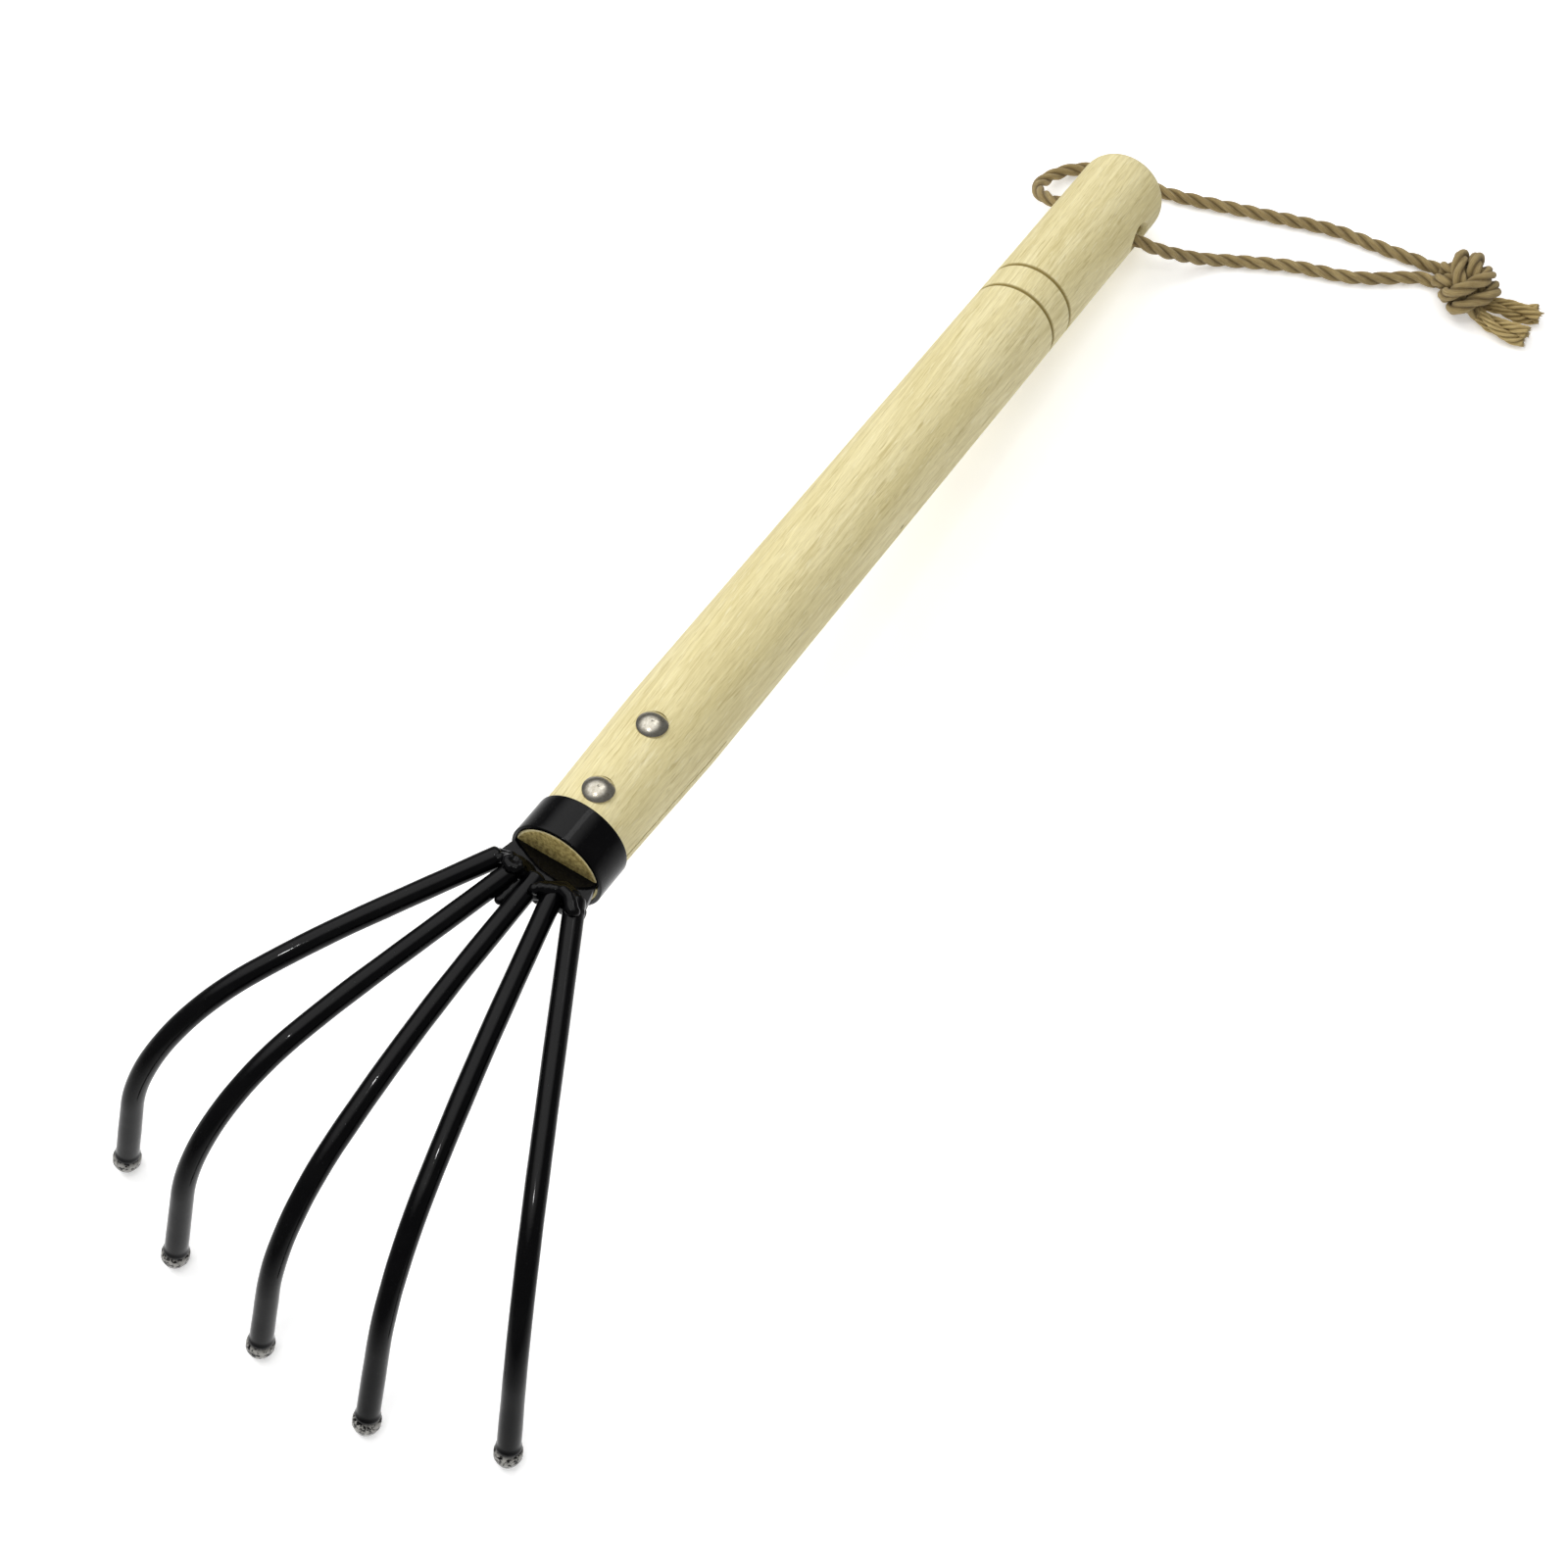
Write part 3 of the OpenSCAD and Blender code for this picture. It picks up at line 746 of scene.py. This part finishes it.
def handle_profile():
    """Half outline of the handle: rounded butt, grip with two V grooves, taper, neck and chamfered tenon."""
    inner = GRIP_R - BUTT_ROUND
    neck = HANDLE_LEN - FERRULE_LEN
    chamfer = 0.8 * MM
    outline = [(0, inner * share) for share in (0.25, 0.5, 0.75)]
    outline += arc(BUTT_ROUND, inner, BUTT_ROUND, 180, 90, 22)
    stations = set(np.linspace(BUTT_ROUND, neck, 230)[1:])
    for groove in GROOVES:
        stations |= set(groove + np.linspace(-1.6, 1.6, 33) * MM)
    for x in sorted(stations):
        down = ease((x - (neck - TAPER_LEN)) / TAPER_LEN) * 0.35
        down += 0.65 * np.clip((x - (neck - TAPER_LEN)) / TAPER_LEN, 0, 1)
        radius = GRIP_R - (GRIP_R - NECK_R) * down
        for groove in GROOVES:
            radius -= groove_depth(abs(x - groove))
        outline.append((x, radius))
    outline += [(neck + 0.02 * MM, TENON_R), (neck + 3 * MM, TENON_R), (neck + 7 * MM, TENON_R)]
    outline += arc(HANDLE_LEN - chamfer, TENON_R - chamfer, chamfer, 90, 0, 8)
    outline += [(HANDLE_LEN, TENON_R * share) for share in (0.7, 0.4, 0.15)]
    return outline


def groove_depth(away):
    """Depth of a V groove at a distance from its middle, with its edges and its bottom a little worn."""
    worn = 0.12 * MM
    straight = GROOVE_DEPTH * (1 - away / GROOVE_HALF)
    return 0.5 * (straight + math.sqrt(straight**2 + worn**2)) - 0.02 * MM if straight > -0.5 * MM else 0.0


def hole_cutter(place):
    """Trumpet-ended bar across the handle, for the cord's hole and its two flared mouths."""
    run = GRIP_R + 2 * MM
    stations = np.linspace(-run, run, 61)
    profile = []
    for x in stations:
        out = max(0.0, (abs(x) - (GRIP_R - MOUTH_FLARE)) / MOUTH_FLARE)
        profile.append((x, HOLE_R + (MOUTH_R - HOLE_R) * out**1.6))
    turn = Matrix.Translation((HOLE_POS, 0, 0)) @ Matrix.Rotation(math.pi / 2, 4, "Z")
    return lathe("hole_cutter", profile, 72, place @ turn)


def box_cutter(low, high, place):
    """A box between two corners, for cutting."""
    corners = [(x, y, z) for x in (low[0], high[0]) for y in (low[1], high[1]) for z in (low[2], high[2])]
    faces = [(0, 1, 3, 2), (4, 6, 7, 5), (0, 4, 5, 1), (2, 3, 7, 6), (0, 2, 6, 4), (1, 5, 7, 3)]
    return make_piece("box_cutter", corners, faces, place)


def radius_behind(back):
    """The handle's radius at a distance behind its front end, along a straight taper."""
    return GRIP_R - (GRIP_R - NECK_R) * max(0, 1 - (back - FERRULE_LEN) / TAPER_LEN)


def upright_cutter(x, low, high, radius, place):
    """A round bar that stands at x on the handle's axis, for cutting."""
    turn = Matrix.Translation((x, 0, 0)) @ Matrix.Rotation(-math.pi / 2, 4, "Y")
    return lathe("bore_cutter", [(low, radius), (high, radius)], 64, place @ turn)


def slot_cutters(place):
    """Cutters for the tang's slot. It is open across the tenon. Behind the ferrule it is as wide as the tang,
    and only a thin line beside the tang's lower face reaches the handle's sides."""
    low, high, wide = TANG_TOP - TANG_T, TANG_TOP, CUT_REACH
    back, neck = HANDLE_LEN - TANG_IN, HANDLE_LEN - FERRULE_LEN
    play, half = CLEARANCE, TANG_W / 2 + CLEARANCE
    return [
        box_cutter((neck + 1 * MM, -wide, low - play), (HANDLE_LEN + 2 * MM, wide, high + play), place),
        box_cutter((back - play, -half, low - play / 2), (neck + 2 * MM, half, high + play / 2), place),
        box_cutter((back - play / 2, -wide, low - play / 3), (neck + 3 * MM, wide, low + SLOT_MOUTH), place),
    ]


def make_handle(place, material):
    """The turned handle, with its cord hole, its slot for the tang and the rivets' bores and seats."""
    piece = lathe("handle_wood", handle_profile(), 200, place)
    for vertex in piece.data.vertices:
        co = vertex.co
        if BUTT_ROUND < co.x < HANDLE_LEN - FERRULE_LEN:
            uneven = noise.noise(Vector((co.x * 28, co.y * 60, co.z * 60)))
            vertex.co = (co.x, co.y * (1 + 0.004 * uneven), co.z * (1 + 0.004 * uneven))
    cutters = [hole_cutter(place), *slot_cutters(place)]
    for back in RIVETS.values():
        x = HANDLE_LEN - back
        seat = radius_behind(back) - SEAT_DEPTH
        cutters.append(upright_cutter(x, -CUT_REACH, CUT_REACH, RIVET_R, place))
        cutters.append(upright_cutter(x, seat, CUT_REACH, RIVET_HEAD_R + CLEARANCE, place))
        cutters.append(upright_cutter(x, -CUT_REACH, -seat, RIVET_HEAD_R + CLEARANCE, place))
    cut(piece, cutters)
    mark_sharp(piece, 38)
    give(piece, "tree", np.array([vertex.co for vertex in piece.data.vertices]))
    give(piece, "end_grain", np.array([abs(face.normal.x) for face in piece.data.polygons]), "FACE")
    return finish_piece(piece, material, "beech", "handle")


# ---- Metal ----


def make_ferrule(place, material):
    """A short tube over the tenon, with rounded lips."""
    lip = 0.45 * MM
    back, front = HANDLE_LEN - FERRULE_LEN, HANDLE_LEN
    outline = arc(back + lip, FERRULE_R - lip, lip, 180, 90, 7)
    outline += [(x, FERRULE_R) for x in np.linspace(back + 1.5 * MM, front - 1.5 * MM, 24)]
    outline += arc(front - lip, FERRULE_R - lip, lip, 90, 0, 7)
    outline += arc(front - 0.3 * MM, TENON_R + 0.3 * MM, 0.3 * MM, 0, -90, 5)
    outline += [(front - 4 * MM, TENON_R), (back + 4 * MM, TENON_R)]
    outline += arc(back + 0.3 * MM, TENON_R + 0.3 * MM, 0.3 * MM, 270, 180, 5)
    around = 180
    angles = np.linspace(0, 2 * np.pi, around, endpoint=False)
    points = [(x, r * math.cos(a), r * math.sin(a)) for x, r in outline for a in angles]
    rows = len(outline)
    faces = []
    for k in range(rows):
        for j in range(around):
            n, m = (j + 1) % around, (k + 1) % rows
            faces.append((k * around + j, k * around + n, m * around + n, m * around + j))
    piece = make_piece("ferrule_ring", points, faces, place)
    for vertex in piece.data.vertices:
        co = vertex.co
        uneven = 0.05 * MM * noise.noise(Vector((co.x * 90, co.y * 70, co.z * 70)))
        vertex.co += Vector((0, co.y, co.z)).normalized() * min(uneven, 0.02 * MM)
    mark_sharp(piece, 50)
    return finish_piece(piece, material, PAINT_SLOT, "ferrule")


def make_tang(place, material):
    """The flat plate that the tines are welded to, with its edges rounded by the paint."""
    front, back = HANDLE_LEN + TANG_OUT, HANDLE_LEN - TANG_IN
    half, tip_half = TANG_W / 2, PLATE_FRONT / 2
    outline = [(back, -half), (HANDLE_LEN, -half), (front, -tip_half), (front, tip_half), (HANDLE_LEN, half),
               (back, half)]
    low, high = TANG_TOP - TANG_T, TANG_TOP
    points = [(x, y, z) for z in (low, high) for x, y in outline]
    count = len(outline)
    faces = [tuple(range(count))[::-1], tuple(range(count, 2 * count))]
    faces += [(k, (k + 1) % count, count + (k + 1) % count, count + k) for k in range(count)]
    piece = make_piece("tang_blade", points, faces, place)
    cut(piece, [upright_cutter(HANDLE_LEN - b, -5 * MM, 5 * MM, RIVET_R, place) for b in RIVETS.values()])
    bevel = piece.modifiers.new("rounded", "BEVEL")
    bevel.width = 0.45 * MM
    bevel.segments = 4
    bevel.limit_method = "ANGLE"
    bevel.angle_limit = math.radians(40)
    bpy.context.view_layer.update()
    apply_modifiers(piece)
    mark_sharp(piece, 30)
    return finish_piece(piece, material, PAINT_SLOT, "tang_plate")


def tine_path(index, place):
    """Middle line of a tine in the tool's frame, as the design bends it, down to the floor."""
    fan, root, slight, sharp = TINES[index]
    fan, slight, sharp = (math.radians(a) for a in (fan, slight, sharp))

    def heading(down):
        return Vector((math.cos(down) * math.cos(fan), math.cos(down) * math.sin(fan), -math.sin(down)))

    def bend(start, radius, angle, count):
        """Points along a bend from one slope to the next."""
        made = []
        for share in np.linspace(0, 1, count):
            now = angle[0] + (angle[1] - angle[0]) * share
            flat = math.sin(now) - math.sin(angle[0])
            made.append(start + radius * Vector((flat * math.cos(fan), flat * math.sin(fan),
                                                 math.cos(now) - math.cos(angle[0]))))
        return made

    middle = (len(TINES) - 1) / 2
    start = Vector((HANDLE_LEN + ROOT_OUT, (index - middle) * ROOT_GAP, ROOT_Z))
    first, second = ROOT_SLOPE + slight, ROOT_SLOPE + slight + sharp
    line = [start, start + root * MM * heading(ROOT_SLOPE)]
    line += bend(line[-1], SLIGHT_R, (ROOT_SLOPE, first), 24)[1:]
    line += bend(line[-1], SHARP_R, (first, second), 48)[1:]
    drop = (place.to_3x3() @ heading(second)).z
    line.append(line[-1] + heading(second) * (TIP_R - (place @ line[-1]).z) / drop)
    return np.array(line)


def make_tine(index, place, material):
    """A bent wire under thick paint, a little uneven, with a rounded and swollen tip."""
    path = tine_path(index, place)
    path = resample(path, int(path_length(path) / (0.3 * MM)))
    along, side, across = sweep_frames(path)
    at = np.linspace(0, path_length(path), len(path))
    around = 40
    spot = np.linspace(0, 2 * np.pi, around, endpoint=False)
    circle = np.cos(spot)[None, :, None] * side[:, None] + np.sin(spot)[None, :, None] * across[:, None]
    to_end = (at[-1] - at) / MM
    swollen = ease((5.2 - to_end) / 3.4)
    crease = np.exp(-((to_end - 2.7) / 0.45)**2)
    radii = WIRE_R + 0.2 * MM * ease(1 - to_end / 45)
    radii += (TIP_FLARE_R - radii) * swollen - 0.5 * MM * crease
    radii = radii + np.array([0.06 * MM * noise.noise(Vector((a / (9 * MM), 4.1 * index, 0))) for a in at])
    rings = list(path[:, None] + radii[:, None, None] * circle)
    for angle in np.radians((12, 25, 40, 55, 68, 78, 86)):
        ball = math.cos(angle)**0.8 * TIP_R * circle[-1] + 0.96 * TIP_R * math.sin(angle) * along[-1]
        rings.append(path[-1] + ball)
        ball = WIRE_R * (math.cos(angle) * circle[0] - 0.6 * math.sin(angle) * along[0])
        rings.insert(0, path[0] + ball)
    points, faces = tube(np.array(rings))
    height = points @ np.array(place)[2, :3] + place.translation.z
    points[:, 2] += np.maximum(0.02 * MM - height, 0) / place[2][2]
    piece = make_piece(f"tine_wire_{index + 1}", points, faces, place)
    # Mask for the tip's pale chips: partly worn paint, partly a painted reflection of the tip in the floor.
    below = (points - path[-1]) @ along[-1]
    tip_wear_and_reflection = ease(2.8 + below / (1.1 * MM))
    give(piece, "tip_wear_and_reflection", tip_wear_and_reflection)
    return finish_piece(piece, material, PAINT_SLOT, f"tine_{index + 1}")


def bead_blobs(ends, bow, crest, seed):
    """Blobs along a bead across some roots, each as its centre, radius and shape. The bead's ends are given
    in root distances from the middle of the row, and lie further forward than its middle by the bow."""
    rng = np.random.default_rng(seed)
    crown = HANDLE_LEN + ROOT_OUT + 0.4 * MM
    blobs = []
    for share in np.linspace(0, 1, 12):
        x = crown + bow * (2 * share - 1)**2 + rng.normal() * 0.15 * MM
        y = (ends[0] + (ends[1] - ends[0]) * share) * ROOT_GAP
        top = ROOT_Z + crest + 0.4 * MM * math.sin(7 * share + seed)
        blobs.append(((x, y, top), rng.uniform(1.3, 1.8) * MM, (1, 1.1, 1)))
        blobs.append(((x - 1.3 * MM, y, top - 2.4 * MM), 2.5 * MM, (1.05, 1, 0.9)))
        blobs.append(((x - 2.6 * MM, y, TANG_TOP - 0.4 * MM), 1.9 * MM, (1.5, 1, 0.9)))
    return blobs


def lump_blobs(ahead, y, height):
    """Blobs of one larger drop with a dent in its middle."""
    blobs = []
    for angle in np.radians(np.arange(0, 360, 45)):
        x = HANDLE_LEN + ROOT_OUT + ahead + 1.5 * MM * math.cos(angle)
        centre = (x, y + 1.9 * MM * math.sin(angle), ROOT_Z + height)
        blobs.append((centre, (1.25 + 0.3 * math.cos(angle)) * MM, (1, 1, 1)))
    blobs.append(((HANDLE_LEN + ROOT_OUT + ahead, y, ROOT_Z + height - 1.6 * MM), 2.3 * MM, (1, 1.2, 1)))
    return blobs


def seam_blobs(gap, lean, length):
    """Blobs that fill the wedge between two roots, which drifts sideways by its lean."""
    blobs = []
    for ahead in np.arange(2 * MM, length, 1 * MM):
        x = HANDLE_LEN + ROOT_OUT + ahead
        centre = (x, gap * ROOT_GAP + lean * ahead, ROOT_Z - 0.7 * MM - 0.1 * ahead)
        blobs.append((centre, 1.5 * MM, (1, 1, 0.8)))
    return blobs


def make_weld(name, blobs, place, material):
    """A weld bead: blobs that flow together into one lumpy drop, under paint."""
    form = bmesh.new()
    for centre, radius, shape in blobs:
        add_blob(form, centre, radius, shape)
    mesh = bpy.data.meshes.new(name)
    form.to_mesh(mesh)
    form.free()
    piece = bpy.data.objects.new(name + "_bead", mesh)
    scene.collection.objects.link(piece)
    piece.matrix_world = place
    melt = piece.modifiers.new("melt", "REMESH")
    melt.mode = "VOXEL"
    melt.voxel_size = 0.24 * MM
    flow = piece.modifiers.new("flow", "SMOOTH")
    flow.factor = 0.6
    flow.iterations = 12
    bpy.context.view_layer.update()
    apply_modifiers(piece)
    for vertex in piece.data.vertices:
        rough = noise.noise(vertex.co * 380) * 0.24 + noise.noise(vertex.co * 1100) * 0.04
        vertex.co += vertex.normal * rough * MM
    face_outwards(piece)
    mark_sharp(piece, 75)
    return finish_piece(piece, material, PAINT_SLOT, name)


def add_blob(form, centre, radius, shape):
    """Adds one ball, stretched by its shape, to a form."""
    matrix = Matrix.Translation(centre) @ Matrix.Diagonal((*shape, 1))
    bmesh.ops.create_icosphere(form, subdivisions=3, radius=radius, matrix=matrix)


def make_rivet(node, back, place, material):
    """A round-headed rivet through handle and tang, with a domed head on both sides."""
    seat = radius_behind(back) - SEAT_DEPTH
    rise = RIVET_HEAD_H - SEAT_DEPTH
    dome_r = (RIVET_HEAD_R**2 + rise**2) / (2 * rise)
    half = []
    for share in np.linspace(0.02, 1, 30):
        radius = RIVET_HEAD_R * share
        height = math.sqrt(dome_r**2 - radius**2) - (dome_r - rise)
        dimple = 0.16 * MM * (1 - ease(radius / (0.5 * MM)))
        half.append((seat + SEAT_DEPTH + max(height, 0) - dimple, radius))
    half += [(seat, RIVET_HEAD_R), (seat - 0.03 * MM, RIVET_R * 1.02)]
    profile = [(-x, r) for x, r in half] + [(x, r) for x, r in reversed(half)]
    turn = Matrix.Translation((HANDLE_LEN - back, 0, 0)) @ Matrix.Rotation(-math.pi / 2, 4, "Y")
    piece = lathe(node + "_pin", profile, 96, place @ turn)
    mark_sharp(piece, 40)
    return finish_piece(piece, material, "rivet_steel", node)


# ---- Studio ----


def make_floor():
    """A plain pale floor, wide enough for every view."""
    half = 6.0
    floor = make_piece("floor", [(-half, -half, 0), (half, -half, 0), (half, half, 0), (-half, half, 0)],
                       [(0, 1, 2, 3)])
    floor.location.z = -FLOOR_GAP
    s = Shader("pale_floor")
    paper = s.noise(s.add("ShaderNodeTexCoord").outputs["Object"], 60, 3, 0.5)
    tone = s.mix(s.spread(paper, 0.3, 0.7), (0.93, 0.93, 0.93, 1), (0.9, 0.9, 0.9, 1))
    material = s.finish(Base_Color=tone, Roughness=0.8, Emission_Color=(1, 1, 1, 1), Emission_Strength=0.36)
    floor.data.materials.append(material)
    floor.visible_glossy = False


def make_world():
    """A room with a ceiling that is bright over the left, dim walls and a floor that dims towards them."""
    world = bpy.data.worlds.new("studio")
    world.use_nodes = True
    tree = world.node_tree
    sky = tree.nodes["Background"]
    where = tree.nodes.new("ShaderNodeTexCoord").outputs["Generated"]
    overhead = world_ramp(tree, where, (-0.3, -0.3, 0.905), (0.6, 0.95), (0.14, 1.2), "SMOOTHSTEP")
    underfoot = world_ramp(tree, where, (0, 0, -1), (0.0, 0.85), (0.0, 0.85), "LINEAR")
    both = tree.nodes.new("ShaderNodeMath")
    both.operation = "ADD"
    tree.links.new(overhead, both.inputs[0])
    tree.links.new(underfoot, both.inputs[1])
    tree.links.new(both.outputs[0], sky.inputs["Strength"])
    sky.inputs["Color"].default_value = (1, 1, 1, 1)
    scene.world = world


def world_ramp(tree, where, towards, reach, strengths, shape):
    """A strength that grows as the view turns towards a direction."""
    facing = tree.nodes.new("ShaderNodeVectorMath")
    facing.operation = "DOT_PRODUCT"
    facing.inputs[1].default_value = towards
    tree.links.new(where, facing.inputs[0])
    ramp = tree.nodes.new("ShaderNodeMapRange")
    ramp.interpolation_type = shape
    ramp.inputs["From Min"].default_value, ramp.inputs["From Max"].default_value = reach
    ramp.inputs["To Min"].default_value, ramp.inputs["To Max"].default_value = strengths
    tree.links.new(facing.outputs["Value"], ramp.inputs["Value"])
    return ramp.outputs["Result"]


def make_lamp(name, location, target, size, power, shows=False):
    """A flat lamp turned towards a target; reflections show it only if it says so."""
    data = bpy.data.lights.new(name, "AREA")
    data.shape = "RECTANGLE"
    data.size, data.size_y = size
    data.energy = power
    lamp = bpy.data.objects.new(name, data)
    scene.collection.objects.link(lamp)
    lamp.location = location
    lamp.rotation_mode = "QUATERNION"
    lamp.rotation_quaternion = (Vector(target) - Vector(location)).to_track_quat("-Z", "Y")
    lamp.visible_glossy = shows


def make_light():
    """The room and its lamps: a large soft key on the left, soft fills on the right and in front, and two
    small lamps that show in the paint as glints and sheen."""
    make_world()
    make_lamp("key", (-0.1, -0.8, 1.0), (0, 0, 0.03), (0.7, 0.7), 5.7)
    make_lamp("top", (0.1, 0.5, 1.3), (0, 0, 0.03), (1.0, 1.0), 4.4)
    make_lamp("bulb", (0.3, -0.04, 1.25), (0.15, 0, 0.05), (0.1, 0.04), 0.9, shows=True)
    make_lamp("strip", (-0.69, 0.05, 0.98), (0.09, 0, 0.07), (0.2, 0.5), 0.3, shows=True)
    make_lamp("front", (1.0, -0.1, 0.45), (0.1, 0, 0.06), (0.6, 0.4), 2.4)
    scene.view_settings.view_transform = "Standard"
    scene.view_settings.look = "None"


def main():
    """Makes the camera, the cord and its knot, the rigid pieces, and the studio."""
    make_camera()
    place = tool_place()
    rope = jute("jute", colour(190, 169, 118), colour(122, 101, 60), colour(216, 198, 150))
    # The tails' jute is paler: partly its frayed fibre, partly painted light that offsets the shade on the
    # thin tail strands.
    frayed_lightened = jute("jute_frayed_lightened", colour(220, 198, 138), colour(158, 133, 80), colour(240, 222, 170))
    right, right_path, *right_end = make_cord("cord_right", ROUTE_RIGHT, rope)
    left, left_path, *left_end = make_cord("cord_left", ROUTE_LEFT, rope)
    knot = make_knot(rope, (right_end, left_end))
    upper = make_tail("cord_tail_upper", ROUTE_TAIL_UPPER, frayed_lightened, 0.4)
    lower = make_tail("cord_tail_lower", ROUTE_TAIL_LOWER, frayed_lightened, 1.9)
    wood, paint, steel = beech(), black_gloss(), rivet_steel()
    make_handle(place, wood)
    make_ferrule(place, paint)
    make_tang(place, paint)
    for index in range(len(TINES)):
        make_tine(index, place, paint)
    left_weld = bead_blobs(LEFT_BEAD, 0.5 * MM, 1.6 * MM, 4)
    left_weld += lump_blobs(0.8 * MM, -6.1 * MM, 2.9 * MM) + seam_blobs(-0.5, -0.155, 9 * MM)
    make_weld("weld_left", left_weld, place, paint)
    make_weld("weld_right", bead_blobs(RIGHT_BEAD, 3.6 * MM, 2.3 * MM, 9), place, paint)
    for node, back in RIVETS.items():
        make_rivet(node, back, place, steel)
    make_floor()
    make_light()


main()
